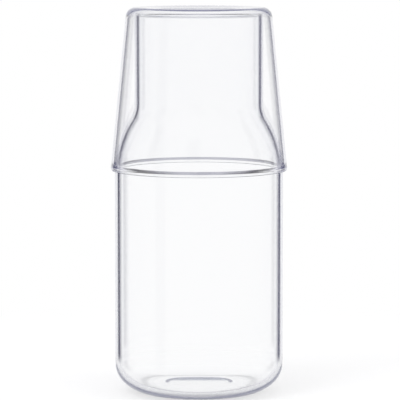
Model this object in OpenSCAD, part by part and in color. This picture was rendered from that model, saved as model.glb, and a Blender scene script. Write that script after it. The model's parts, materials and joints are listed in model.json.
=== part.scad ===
// Bedside carafe with its tumbler, both blown from clear glass.
// The tumbler stands upside down over the neck, as the carafe's lid.
// Millimetres, with Z up and the origin in the middle of the surface that the carafe stands on.

/* [Carafe] */
// Outside diameter of the body
body_d = 85; // [70:0.5:105]
// Height from the foot to the top of the lip
carafe_h = 193.4; // [150:0.1:260]
// Thickness of the body, the shoulder and the neck
carafe_wall = 2; // [1.2:0.1:3]
// Outside diameter of the neck
neck_d = 64.7; // [50:0.1:78]
// Height of the straight neck, lip included
neck_h = 46.9; // [25:0.1:70]
// Radius of the outside curve from the neck into the shoulder
neck_curve_r = 12.3; // [6:0.1:25]
// Radius of the outside curve from the shoulder into the body
shoulder_curve_r = 56; // [40:0.5:70]

/* [Carafe foot] */
// Width of the rounded heel, inwards from the body's outside
heel_w = 18.8; // [10:0.1:22]
// Height of the rounded heel
heel_h = 14.6; // [8:0.1:20]
// Width of the inside curve, inwards from the body's inside
inside_heel_w = 16.6; // [8:0.1:22]
// Height of the inside curve
inside_heel_h = 12.3; // [4:0.1:14]
// Thickness of the glass from the foot to the floor inside
floor_t = 2.8; // [2.2:0.1:6]
// Width of the flat ring that the carafe stands on
foot_ring_w = 5.9; // [2:0.1:9]
// Width of the rounded step from the flat ring into the push-up
push_up_step_w = 3; // [1:0.1:4]
// Height of the push-up at the top of that step
push_up_edge_h = 0.6; // [0.2:0.1:1]
// Height of the push-up in the middle
push_up_h = 1; // [0.4:0.1:1.2]

/* [Tumbler] */
// Thickness of the side
tumbler_wall = 1.1; // [0.8:0.1:2]
// Thickness of the base
tumbler_base_t = 1.6; // [1.4:0.1:4]
// Radius of the outside curve between the side and the base
tumbler_heel_r = 5; // [3:0.1:8]
// Radius of the inside curve between the side and the base
tumbler_inside_heel_r = 3.9; // [2:0.1:6]
// Width of the flat ring that the tumbler stands on when it is in use
tumbler_ring_w = 6; // [2:0.1:12]
// Depth of the shallow dish inside that ring
tumbler_dish_h = 0.5; // [0.2:0.1:0.8]
// Thickness of the rolled rim
rim_t = 1.4; // [1.3:0.1:2.4]
// Height of the rolled rim
rim_h = 2.4; // [1.6:0.1:4]

/* [Fit of the tumbler on the carafe] */
// Gap between the carafe's lip and the tumbler's base
seat_gap = 0.3; // [0.1:0.05:0.6]
// Gap round the neck, at the tumbler's base
neck_clearance = 3.1; // [1.5:0.1:5]
// Gap round the body's full diameter, at the tumbler's mouth
mouth_clearance = 0.85; // [0.7:0.05:2]
// Height of the tumbler's mouth above the foot of the shoulder
mouth_lift = 2.6; // [0:0.1:6]

/* [Hidden] */
$fn = 120;
// How far a straight run may lie inside the arc that it stands for, and the most that it may turn
arc_sag = 0.01;
arc_turn = 9;
dome_steps = 6;
glass = [0.82, 0.88, 0.93, 0.4];

body_r = body_d / 2;
neck_r = neck_d / 2;
neck_foot_z = carafe_h - neck_h;
lip_r = carafe_wall / 2;

// The two curves of the shoulder meet at one slope, which follows from how far the neck draws in.
shoulder_slope = acos(1 - (body_r - neck_r) / (neck_curve_r + shoulder_curve_r));
shoulder_h = (neck_curve_r + shoulder_curve_r) * sin(shoulder_slope);
shoulder_foot_z = neck_foot_z - shoulder_h;

foot_ring_r = body_r - heel_w;
push_up_foot_r = foot_ring_r - foot_ring_w;
push_up_edge_r = push_up_foot_r - push_up_step_w;

// The tumbler reaches from its seat on the lip down to the foot of the shoulder.
tumbler_h = tumbler_base_t + seat_gap + neck_h + shoulder_h - mouth_lift;
tumbler_inside_base_r = neck_r + neck_clearance;
tumbler_inside_mouth_r = body_r + mouth_clearance;
tumbler_taper = atan(
    (tumbler_inside_mouth_r - tumbler_inside_base_r) / (tumbler_h - tumbler_base_t)
);
rim_mid_r = tumbler_inside_mouth_r + tumbler_wall / 2;
rim_mid_z = tumbler_h - rim_h / 2;
rim_turn = acos(tumbler_wall / rim_t);

// Points along an arc, circular or elliptical, round a middle point
function arc(middle, radii, from, to) =
    let (
        flattest = max(radii.x, radii.y),
        turn_step = min(arc_turn, 2 * acos(1 - arc_sag / flattest)),
        steps = ceil(abs(to - from) / turn_step)
    )
    [
        for (i = [0 : steps])
        let (turn = from + (to - from) * i / steps)
        [middle.x + radii.x * cos(turn), middle.y + radii.y * sin(turn)]
    ];

// Points of a soft step that starts and ends level
function soft_step(from, to) =
    let (steps = 2 * dome_steps)
    [
        for (i = [0 : steps])
        let (rise = (1 - cos(180 * i / steps)) / 2)
        [from.x + (to.x - from.x) * i / steps, from.y + (to.y - from.y) * rise]
    ];

// The neck's curve and the shoulder's curve, from the top down, at a depth inside the glass
function shoulder(depth) =
    let (neck_round = neck_curve_r + depth, body_round = shoulder_curve_r - depth)
    concat(
        arc(
            [neck_r + neck_curve_r, neck_foot_z],
            [neck_round, neck_round],
            180,
            180 + shoulder_slope
        ),
        arc(
            [body_r - shoulder_curve_r, shoulder_foot_z],
            [body_round, body_round],
            shoulder_slope,
            0
        )
    );

function reversed(points) = [for (i = [len(points) - 1 : -1 : 0]) points[i]];

// A shallow dome over the axis, from its middle out to its edge
function dome(middle_z, edge) =
    [
        for (i = [0 : dome_steps])
        let (out = i / dome_steps)
        [edge.x * out, middle_z + (edge.y - middle_z) * out * out]
    ];

module carafe() {
    inside_r = body_r - carafe_wall;
    inside_heel_z = floor_t + inside_heel_h;
    underside = concat(
        dome(push_up_h, [push_up_edge_r, push_up_edge_h]),
        soft_step([push_up_edge_r, push_up_edge_h], [push_up_foot_r, 0])
    );
    outside_heel = arc([foot_ring_r, heel_h], [heel_w, heel_h], 270, 360);
    lip = arc([neck_r - lip_r, carafe_h - lip_r], [lip_r, lip_r], 0, 180);
    inside_heel = arc(
        [inside_r - inside_heel_w, inside_heel_z],
        [inside_heel_w, inside_heel_h],
        360,
        270
    );
    color(glass)
    rotate_extrude()
    polygon(concat(
        underside,
        outside_heel,
        reversed(shoulder(0)),
        lip,
        shoulder(carafe_wall),
        inside_heel,
        [[0, floor_t]]
    ));
}

// The tumbler the right way up, with its base at zero height
module upright_tumbler() {
    lean = 90 - tumbler_taper;
    // Where a circle that touches both the base and the tapered side has its middle
    reach = tan(lean / 2);
    outside_base_r = tumbler_inside_base_r + tumbler_wall - tumbler_base_t * tan(tumbler_taper);
    outside_heel = arc(
        [outside_base_r - tumbler_heel_r * reach, tumbler_heel_r],
        [tumbler_heel_r, tumbler_heel_r],
        270,
        360 - tumbler_taper
    );
    rim = arc([rim_mid_r, rim_mid_z], [rim_t / 2, rim_h / 2], -rim_turn, 180 + rim_turn);
    inside_heel = arc(
        [
            tumbler_inside_base_r - tumbler_inside_heel_r * reach,
            tumbler_base_t + tumbler_inside_heel_r
        ],
        [tumbler_inside_heel_r, tumbler_inside_heel_r],
        360 - tumbler_taper,
        270
    );
    dish_r = outside_base_r - tumbler_heel_r * reach - tumbler_ring_w;
    rotate_extrude()
    polygon(concat(
        dome(tumbler_dish_h, [dish_r, 0]),
        outside_heel,
        rim,
        inside_heel,
        [[0, tumbler_base_t]]
    ));
}

module tumbler() {
    color(glass)
    translate([0, 0, carafe_h + seat_gap + tumbler_base_t])
    rotate([180, 0, 0])
    upright_tumbler();
}

carafe();
tumbler();
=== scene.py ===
import json
from math import acos, atan, ceil, cos, degrees, hypot, pi, radians, sin, tan

import bpy
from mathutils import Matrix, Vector


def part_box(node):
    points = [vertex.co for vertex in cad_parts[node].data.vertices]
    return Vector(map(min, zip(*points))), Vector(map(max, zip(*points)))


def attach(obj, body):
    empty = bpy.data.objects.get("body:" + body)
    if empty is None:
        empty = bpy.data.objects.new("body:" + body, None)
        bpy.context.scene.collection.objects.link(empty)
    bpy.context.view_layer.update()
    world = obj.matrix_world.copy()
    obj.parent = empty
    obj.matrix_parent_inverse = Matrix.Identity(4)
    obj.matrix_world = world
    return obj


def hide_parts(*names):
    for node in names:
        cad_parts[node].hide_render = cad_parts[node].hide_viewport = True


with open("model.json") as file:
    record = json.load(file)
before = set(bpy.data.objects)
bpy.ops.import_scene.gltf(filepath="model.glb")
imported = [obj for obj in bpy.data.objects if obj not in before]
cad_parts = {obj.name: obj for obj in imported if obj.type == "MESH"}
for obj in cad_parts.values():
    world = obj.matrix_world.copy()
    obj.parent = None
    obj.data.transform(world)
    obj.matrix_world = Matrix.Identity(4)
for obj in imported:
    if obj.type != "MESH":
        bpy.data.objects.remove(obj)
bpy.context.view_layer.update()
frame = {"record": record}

# The carafe. One piece of clear borosilicate glass: a tube of 85 mm, drawn in at the flame to the
# neck, with its foot closed and pushed up and its lip melted round. Sizes are in millimetres, and
# the overall ones come from the frame.
mm = 0.001
carafe_lowest, carafe_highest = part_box("carafe")
mouth = next(m for m in frame["record"]["mounts"] if m["name"] == "mouth")
body_r = min(*carafe_highest.xy, *-carafe_lowest.xy) / mm
carafe_h = carafe_highest.z / mm
carafe_wall = 2
neck_r = mouth["dims"]["r_mm"] + carafe_wall
neck_h = 46.9
neck_curve_r = 12.3
shoulder_curve_r = 56
heel_w = 18.8
heel_h = 14.6
inside_heel_w = 16.6
inside_heel_h = 12.3
floor_t = 2.8
foot_ring_w = 5.9
push_up_step_w = 3
push_up_edge_h = 0.6
push_up_h = 1

# How far apart the rings of points lie along a straight wall and along a curved one, how much
# a tight curve turns from one ring to the next, how many rings a soft step has, and how many
# points a ring has
straight_step = 2.0
curve_step = 1.0
turn_step = 6.0
soft_steps = 12
points_round = 240

# The ends of two runs of an outline are one point if they are nearer than the first of these, and
# a straight run joins them if they are further apart than the second. The third welds the mesh.
same_point = 1e-6
open_gap = 0.2
weld_distance = 0.001


def straight(start, end):
    """Points along a straight run, without its start."""
    count = ceil(hypot(end[0] - start[0], end[1] - start[1]) / straight_step)
    return [
        (start[0] + (end[0] - start[0]) * i / count, start[1] + (end[1] - start[1]) * i / count)
        for i in range(1, count + 1)
    ]


def arc(middle, across, up, start, end):
    """Points along an arc of an ellipse, in degrees, with both its ends."""
    turn = min(turn_step, degrees(curve_step / max(across, up)))
    count = ceil(abs(end - start) / turn)
    angles = [radians(start + (end - start) * i / count) for i in range(count + 1)]
    return [(middle[0] + across * cos(a), middle[1] + up * sin(a)) for a in angles]


def dome(middle_z, edge_r, edge_z):
    """Points of a shallow dome, from the axis out to its edge."""
    count = ceil(edge_r / straight_step)
    return [
        (edge_r * i / count, middle_z + (edge_z - middle_z) * (i / count) ** 2)
        for i in range(count + 1)
    ]


def soft_step(start, end):
    """Points of a rounded step that starts and ends level, without its start."""
    return [
        (
            start[0] + (end[0] - start[0]) * i / soft_steps,
            start[1] + (end[1] - start[1]) * (1 - cos(pi * i / soft_steps)) / 2,
        )
        for i in range(1, soft_steps + 1)
    ]


def joined(*runs):
    """The runs of an outline in turn, with a straight run between those that lie apart."""
    points = list(runs[0])
    for run in runs[1:]:
        gap = hypot(run[0][0] - points[-1][0], run[0][1] - points[-1][1])
        if gap > open_gap:
            points += straight(points[-1], run[0])[:-1]
        elif gap < same_point:
            points.pop()
        points += run
    return points


def turned_glass(name, outline):
    """A round glass piece: its outline is drawn point by point and spun about the Z axis."""
    bpy.ops.object.select_all(action="DESELECT")
    bpy.ops.mesh.primitive_plane_add(size=mm)
    piece = bpy.context.object
    piece.name = piece.data.name = name
    bpy.ops.object.mode_set(mode="EDIT")
    bpy.ops.mesh.merge(type="CENTER")
    bpy.ops.transform.translate(value=(outline[0][0] * mm, 0, outline[0][1] * mm))
    for before, after in zip(outline, outline[1:]):
        step = ((after[0] - before[0]) * mm, 0, (after[1] - before[1]) * mm)
        bpy.ops.mesh.extrude_region_move(TRANSFORM_OT_translate={"value": step})
    bpy.ops.mesh.select_all(action="SELECT")
    bpy.ops.mesh.spin(steps=points_round, angle=2 * pi, center=(0, 0, 0), axis=(0, 0, 1))
    bpy.ops.mesh.select_all(action="SELECT")
    bpy.ops.mesh.remove_doubles(threshold=weld_distance * mm)
    bpy.ops.mesh.normals_make_consistent(inside=False)
    bpy.ops.object.mode_set(mode="OBJECT")
    bpy.ops.object.transform_apply(location=True, rotation=True, scale=True)
    bpy.ops.object.shade_smooth()
    return piece


neck_foot_z = carafe_h - neck_h
shoulder_slope = acos(1 - (body_r - neck_r) / (neck_curve_r + shoulder_curve_r))
shoulder_h = (neck_curve_r + shoulder_curve_r) * sin(shoulder_slope)
shoulder_foot_z = neck_foot_z - shoulder_h
foot_ring_r = body_r - heel_w
push_up_foot_r = foot_ring_r - foot_ring_w
push_up_edge_r = push_up_foot_r - push_up_step_w
lip_r = carafe_wall / 2
inside_r = body_r - carafe_wall


def shoulder(depth):
    """The neck's and the shoulder's curves, from the top down, at a depth inside the glass."""
    slope = degrees(shoulder_slope)
    neck_round = neck_curve_r + depth
    body_round = shoulder_curve_r - depth
    return joined(
        arc((neck_r + neck_curve_r, neck_foot_z), neck_round, neck_round, 180, 180 + slope),
        arc((body_r - shoulder_curve_r, shoulder_foot_z), body_round, body_round, slope, 0),
    )


inside_heel_middle = (inside_r - inside_heel_w, floor_t + inside_heel_h)
carafe_outline = joined(
    dome(push_up_h, push_up_edge_r, push_up_edge_h),
    soft_step((push_up_edge_r, push_up_edge_h), (push_up_foot_r, 0)),
    arc((foot_ring_r, heel_h), heel_w, heel_h, 270, 360),
    shoulder(0)[::-1],
    arc((neck_r - lip_r, carafe_h - lip_r), lip_r, lip_r, 0, 180),
    shoulder(carafe_wall),
    arc(inside_heel_middle, inside_heel_w, inside_heel_h, 360, 270),
    [(0, floor_t)],
)
carafe = turned_glass("carafe_glass_body", carafe_outline)


def hex_colour(text):
    """An sRGB hex colour as linear red, green, blue and a full alpha."""
    parts = [int(text[i : i + 2], 16) / 255 for i in (0, 2, 4)]
    return [c / 12.92 if c <= 0.04045 else ((c + 0.055) / 1.055) ** 2.4 for c in parts] + [1]


def add_node(tree, kind, feeds, **settings):
    """Adds a node of a kind, sets it, and gives its inputs a plain value or another's output."""
    made = tree.nodes.new(kind)
    for name, value in settings.items():
        setattr(made, name, value)
    for name, value in feeds.items():
        if isinstance(value, bpy.types.NodeSocket):
            tree.links.new(value, made.inputs[name])
        else:
            made.inputs[name].default_value = value
    return made


# Clear borosilicate glass, drawn and fire-polished. It has no grain and no colour of its own but a
# breath of blue-grey, which builds up along the way that light goes through it and so shows at the
# edges. Drawing leaves it faint waves, longer down the wall than round it, and wiping leaves
# patches of a very thin haze.
borosilicate_ior = 1.47
wave_stretch = 4
haze_patch_mm = 25
haze_roughness = 0.006
tint_per_metre = 20.0


def clear_glass(name, tint, wave_mm, wave_height_mm):
    """Clear glass with a tint and with waves of a width and height in millimetres."""
    material = bpy.data.materials.new(name)
    material.use_nodes = True
    tree = material.node_tree
    tree.nodes.clear()
    place = add_node(tree, "ShaderNodeTexCoord", {}).outputs["Object"]
    drawn = add_node(
        tree,
        "ShaderNodeMapping",
        {"Vector": place, "Scale": (1 / mm, 1 / mm, 1 / mm / wave_stretch)},
    )
    waves = add_node(
        tree,
        "ShaderNodeTexNoise",
        {"Vector": drawn.outputs["Vector"], "Scale": 1 / wave_mm, "Detail": 1.0, "Roughness": 0.4},
    )
    bump = add_node(
        tree,
        "ShaderNodeBump",
        {"Height": waves.outputs["Fac"], "Strength": 1.0, "Distance": wave_height_mm * mm},
    )
    wiped = add_node(
        tree,
        "ShaderNodeTexNoise",
        {"Vector": place, "Scale": 1 / (haze_patch_mm * mm), "Detail": 4.0, "Distortion": 0.6},
    )
    haze = add_node(
        tree,
        "ShaderNodeMapRange",
        {
            "Value": wiped.outputs["Fac"],
            "From Min": 0.55,
            "From Max": 0.9,
            "To Max": haze_roughness,
        },
    )
    glass = add_node(
        tree,
        "ShaderNodeBsdfPrincipled",
        {
            "Base Color": (1, 1, 1, 1),
            "Roughness": haze.outputs["Result"],
            "IOR": borosilicate_ior,
            "Transmission Weight": 1.0,
            "Normal": bump.outputs["Normal"],
        },
    )
    inside = add_node(
        tree,
        "ShaderNodeVolumeAbsorption",
        {"Color": hex_colour(tint), "Density": tint_per_metre},
    )
    add_node(
        tree,
        "ShaderNodeOutputMaterial",
        {"Surface": glass.outputs["BSDF"], "Volume": inside.outputs["Volume"]},
    )
    return material


carafe.data.materials.append(
    clear_glass(
        "borosilicate_glass_drawn_and_fire_polished",
        tint="D9DFEA",
        wave_mm=14,
        wave_height_mm=0.01,
    )
)
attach(carafe, "carafe")
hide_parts("carafe")

# The tumbler. One piece of thinner clear borosilicate glass, blown into a mould: a flared side,
# a rounded heel, a flat bottom with a shallow dish, and a rim rolled into a fine bead at the
# flame. It stands upside down over the neck, with its base on the carafe's lip and its mouth low.
tumbler_lowest, tumbler_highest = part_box("tumbler")
tumbler_h = (tumbler_highest.z - tumbler_lowest.z) / mm
tumbler_wall = 1.1
tumbler_base_t = 1.6
tumbler_heel_r = 5
tumbler_inside_heel_r = 3.9
tumbler_ring_w = 6
tumbler_dish_h = 0.5
rim_t = 1.4
rim_h = 2.4
neck_clearance = 3.1
tumbler_inside_base_r = neck_r + neck_clearance
rim_outside_r = min(*tumbler_highest.xy, *-tumbler_lowest.xy) / mm
rim_mid_r = rim_outside_r - rim_t / 2
tumbler_inside_mouth_r = rim_mid_r - tumbler_wall / 2
tumbler_taper = atan(
    (tumbler_inside_mouth_r - tumbler_inside_base_r) / (tumbler_h - tumbler_base_t)
)

# A circle that touches both the base and the leaning side has its middle this many radii in.
heel_reach = tan((pi / 2 - tumbler_taper) / 2)
outside_base_r = tumbler_inside_base_r + tumbler_wall - tumbler_base_t * tan(tumbler_taper)
tumbler_ring_r = outside_base_r - tumbler_heel_r * heel_reach
tumbler_inside_ring_r = tumbler_inside_base_r - tumbler_inside_heel_r * heel_reach
lean = degrees(tumbler_taper)
rim_turn = degrees(acos(tumbler_wall / rim_t))
tumbler_outline = joined(
    dome(tumbler_dish_h, tumbler_ring_r - tumbler_ring_w, 0),
    arc((tumbler_ring_r, tumbler_heel_r), tumbler_heel_r, tumbler_heel_r, 270, 360 - lean),
    arc((rim_mid_r, tumbler_h - rim_h / 2), rim_t / 2, rim_h / 2, -rim_turn, 180 + rim_turn),
    arc(
        (tumbler_inside_ring_r, tumbler_base_t + tumbler_inside_heel_r),
        tumbler_inside_heel_r,
        tumbler_inside_heel_r,
        360 - lean,
        270,
    ),
    [(0, tumbler_base_t)],
)
# The outline was drawn with the tumbler upright, so here it is turned over.
tumbler = turned_glass(
    "tumbler_glass_body", [(r, tumbler_highest.z / mm - z) for r, z in tumbler_outline]
)
tumbler.data.materials.append(
    clear_glass("borosilicate_glass_blown_thin", tint="DCE1EC", wave_mm=11, wave_height_mm=0.008)
)
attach(tumbler, "tumbler")
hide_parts("tumbler")

# The floor. Pale matte board, shaded by the glass that stands on it. It runs out into the white
# of the studio, and the glass sees it only close by. Its sizes are in metres.
floor_r = 0.9
floor_points_round = 128
bpy.ops.object.select_all(action="DESELECT")
bpy.ops.mesh.primitive_circle_add(
    vertices=floor_points_round, radius=floor_r, fill_type="NGON"
)
floor = bpy.context.object
floor.name = "floor"

board = bpy.data.materials.new("pale_matte_board")
board.use_nodes = True
tree = board.node_tree
tree.nodes.clear()


def set_stops(ramp, stops):
    """Gives a colour ramp its stops, each of them a place from 0 to 1 and a colour."""
    elements = ramp.color_ramp.elements
    while len(elements) < len(stops):
        elements.new(0.5)
    for element, (place, colour) in zip(elements, stops):
        element.position = place
        element.color = colour


# Shares from 0 to 1 by metres from the axis: how far the camera sees the board give way to the
# white round it, how much white glow the glass sees on it, less in a ring under the heel, which is
# a painted contact shadow, and where the glass sees past it
board_reach = 0.3
whitened_from_axis = ((0.05, 0.6), (0.3, 1))
painted_shadow_ring_from_axis = (
    (0.026, 0.9),
    (0.0285, 0.4),
    (0.0305, 0.4),
    (0.0325, 0.8),
    (0.045, 0.93),
    (0.07, 1),
)
cleared_from_axis = ((0.11, 0), (0.15, 1))
place = add_node(tree, "ShaderNodeTexCoord", {}).outputs["Object"]
away = add_node(tree, "ShaderNodeVectorMath", {"Vector": place}, operation="LENGTH")
reach = add_node(
    tree, "ShaderNodeMapRange", {"Value": away.outputs["Value"], "From Max": board_reach}
)
shares = []
for stops in (whitened_from_axis, painted_shadow_ring_from_axis, cleared_from_axis):
    ramp = add_node(tree, "ShaderNodeValToRGB", {"Fac": reach.outputs["Result"]})
    ramp.color_ramp.interpolation = "EASE"
    set_stops(ramp, [(metres / board_reach, (share, share, share, 1)) for metres, share in stops])
    shares.append(ramp.outputs["Color"])
whitened, painted_shadow_ring_share, cleared = shares

# The board itself is off-white, and the light that the glass takes from it is white. To light that
# the glass has thrown back more than once it glows lavender grey instead: painted shade on the
# glass.
board_white = "F8F8FA"
pure_white = "FFFFFF"
painted_shade_from_floor = "82829A"
more_than_once = 1.5
rays = add_node(tree, "ShaderNodeLightPath", {}).outputs
painted_shade_where_trapped = add_node(
    tree,
    "ShaderNodeMath",
    {0: rays["Glossy Depth"], 1: more_than_once},
    operation="GREATER_THAN",
)
# Of a mix node for colours, input 0 is the share and inputs 6 and 7 are the two colours.
glow_colour_with_painted_shade = add_node(
    tree,
    "ShaderNodeMix",
    {0: painted_shade_where_trapped.outputs[0], 6: hex_colour(pure_white), 7: hex_colour(painted_shade_from_floor)},
    data_type="RGBA",
)
glow_with_painted_shade = add_node(tree, "ShaderNodeEmission", {"Color": glow_colour_with_painted_shade.outputs[2], "Strength": 1.0})
matte = add_node(
    tree, "ShaderNodeBsdfDiffuse", {"Color": hex_colour(board_white), "Roughness": 0.5}
)
clear = add_node(tree, "ShaderNodeBsdfTransparent", {})
seen = add_node(
    tree, "ShaderNodeMixShader", {0: whitened, 1: matte.outputs[0], 2: glow_with_painted_shade.outputs[0]}
)
surface = matte.outputs[0]
for share, other in (
    (painted_shadow_ring_share, glow_with_painted_shade.outputs[0]),
    (cleared, clear.outputs[0]),
    (rays["Is Camera Ray"], seen.outputs[0]),
):
    surface = add_node(tree, "ShaderNodeMixShader", {0: share, 1: surface, 2: other}).outputs[0]
add_node(tree, "ShaderNodeOutputMaterial", {"Surface": surface})
floor.data.materials.append(board)

# The studio. White screens stand all round the object with dark strips between them. The glass
# bends the light at its edges by 26 to 43 degrees, so strips that far to both sides of a view
# draw its walls as dark lines on white.
world = bpy.data.worlds.new("studio")
bpy.context.scene.world = world
world.use_nodes = True
tree = world.node_tree
tree.nodes.clear()
direction = add_node(tree, "ShaderNodeTexCoord", {}).outputs["Generated"]
parts = add_node(tree, "ShaderNodeSeparateXYZ", {"Vector": direction}).outputs
turn = add_node(tree, "ShaderNodeMath", {0: parts["Y"], 1: parts["X"]}, operation="ARCTAN2")
round_studio = add_node(
    tree, "ShaderNodeMapRange", {"Value": turn.outputs[0], "From Min": -pi, "From Max": pi}
)

# Each strip has a colour and four edges: where the white screen ends, where the strip is full,
# where it starts to fade and where the next screen starts. They are in degrees to the left of the
# middle of the photograph's background. The ramps start and end at the far left, which is -270
# and 90 degrees, and all is white there.
ramp_start = -270
main_strips = (("34344C", -45, -42.5, -29, -26.5), ("202034", 26.5, 29, 42, 44.5))
side_strips = (("A0A0AE", -245, -242.5, -229.5, -227), ("A0A0AE", 47, 49.5, 62.5, 65))

# Below the horizon: for the views from above, and for the tumbler's rim, where the dark fades to
# a grey in the middle
low_strips = (
    ("606072", -183, -180, -163, -160.5),
    ("55556A", -109.5, -107, -94, -91.5),
    ("404050", 70.5, 73, 86, 88.5),
)
rim_dark = "101018"
rim_middle = "B0B0BC"
rim_stops = (
    (-20, pure_white),
    (-17, rim_dark),
    (-6, rim_dark),
    (-1.5, rim_middle),
    (1.5, rim_middle),
    (6, rim_dark),
    (17, rim_dark),
    (19.5, pure_white),
)


def strip_stops(strips):
    """The edges of strips, each with the colour that it has there."""
    stops = []
    for colour, *edges in strips:
        stops += zip(edges, (pure_white, colour, colour, pure_white))
    return stops


around = []
for stops in (
    strip_stops(main_strips),
    strip_stops(side_strips),
    strip_stops(low_strips),
    rim_stops,
):
    ramp = add_node(tree, "ShaderNodeValToRGB", {"Fac": round_studio.outputs["Result"]})
    set_stops(ramp, [((edge - ramp_start) / 360, hex_colour(colour)) for edge, colour in stops])
    around.append(ramp.outputs["Color"])
main, side, low, rim = around


def climb(lower, upper):
    """From 0 to 1 as a direction climbs between two heights above the horizon, in degrees."""
    feeds = {"Value": parts["Z"], "From Min": sin(radians(lower)), "From Max": sin(radians(upper))}
    return add_node(tree, "ShaderNodeMapRange", feeds, interpolation_type="SMOOTHSTEP").outputs[0]


# The walls' own lines are light that is thrown back once, inside one wall, which is two surfaces
# passed, give or take one. Other light that is thrown back doesn't see the strips for the other
# views, which would stripe the glass. The limits lie between two whole numbers.
at_least_once = 0.5
many_surfaces = 7.5
surfaces_of_wall = 2.0
give_or_take = 1.5
screen = hex_colour(pure_white)
rays = add_node(tree, "ShaderNodeLightPath", {}).outputs
past = []
for depth, limit in (
    ("Glossy Depth", at_least_once),
    ("Glossy Depth", more_than_once),
    ("Transmission Depth", many_surfaces),
):
    passed = add_node(
        tree, "ShaderNodeMath", {0: rays[depth], 1: limit}, operation="GREATER_THAN"
    )
    past.append(passed.outputs[0])
thrown_back, painted_shade_where_trapped, deep = past
one_wall = add_node(
    tree,
    "ShaderNodeMath",
    {0: rays["Transmission Depth"], 1: surfaces_of_wall, 2: give_or_take},
    operation="COMPARE",
)
back_elsewhere = add_node(
    tree,
    "ShaderNodeMath",
    {0: thrown_back, 1: one_wall.outputs[0]},
    operation="SUBTRACT",
    use_clamp=True,
)
back_from_deep = add_node(tree, "ShaderNodeMath", {0: thrown_back, 1: deep}, operation="MULTIPLY")
heights = []
for always, sometimes, spared in (
    (main, side, back_elsewhere.outputs[0]),
    (rim, low, back_from_deep.outputs[0]),
):
    calmed = add_node(
        tree, "ShaderNodeMix", {0: spared, 6: sometimes, 7: screen}, data_type="RGBA"
    )
    both = add_node(
        tree,
        "ShaderNodeMix",
        {0: 1.0, 6: always, 7: calmed.outputs[2]},
        data_type="RGBA",
        blend_type="MULTIPLY",
    )
    heights.append(both.outputs[2])
level, below = heights

# Light that the glass traps gets painted shade, two lavender greys, below and above the horizon.
painted_shade_below = hex_colour("A4A4BC")
painted_shade_above = hex_colour("7C7C94")
painted_shade_of_trapped_light = add_node(
    tree,
    "ShaderNodeMix",
    {0: climb(-1, 1), 6: painted_shade_below, 7: painted_shade_above},
    data_type="RGBA",
)

# From what lies straight under the studio up to its ceiling, and then what the camera sees
underside = hex_colour("E4E6F0")
colours = underside
for share, layer in (
    (climb(-50, -40), below),
    (climb(-11.6, -10.6), level),
    (painted_shade_where_trapped, painted_shade_of_trapped_light.outputs[2]),
    (climb(15, 30), screen),
    (rays["Is Camera Ray"], screen),
):
    layered = add_node(tree, "ShaderNodeMix", {0: share, 6: colours, 7: layer}, data_type="RGBA")
    colours = layered.outputs[2]
background = add_node(tree, "ShaderNodeBackground", {"Color": colours, "Strength": 1.0})
add_node(tree, "ShaderNodeOutputWorld", {"Surface": background.outputs["Background"]})

# Two soft boxes, one high on the left and one lower on the right, that face the object's middle
lit_point = Vector((0, 0, 0.1))
for name, stand, size, watts in (
    ("key_soft_box", Vector((-0.9, -0.9, 1.4)), 0.9, 9.0),
    ("fill_soft_box", Vector((1.2, -0.5, 0.9)), 0.8, 4.0),
):
    lamp = bpy.data.lights.new(name, "AREA")
    lamp.size = size
    lamp.energy = watts
    holder = bpy.data.objects.new(name, lamp)
    bpy.context.scene.collection.objects.link(holder)
    holder.visible_glossy = False
    holder.visible_transmission = False
    holder.location = stand
    holder.rotation_euler = (lit_point - stand).to_track_quat("-Z", "Y").to_euler()

# The camera. It stands far off with a long lens, about 5 cm higher than the top of the object,
# and looks down by about 6 degrees.
camera_away = 1.4
camera_up = 0.2434
aim = Vector((0.0005, 0, 0.0979))
camera_data = bpy.data.cameras.new("camera")
camera_data.lens = 250.35
camera = bpy.data.objects.new("camera", camera_data)
bpy.context.scene.collection.objects.link(camera)
camera.location = (0, -camera_away, camera_up)
camera.rotation_euler = (aim - camera.location).to_track_quat("-Z", "Y").to_euler()

# Light goes round inside the foot and the heel many times before it gets out.
most_bounces = 96
scene = bpy.context.scene
scene.camera = camera
scene.view_settings.view_transform = "Standard"
scene.cycles.max_bounces = most_bounces
scene.cycles.transmission_bounces = most_bounces
scene.cycles.glossy_bounces = most_bounces
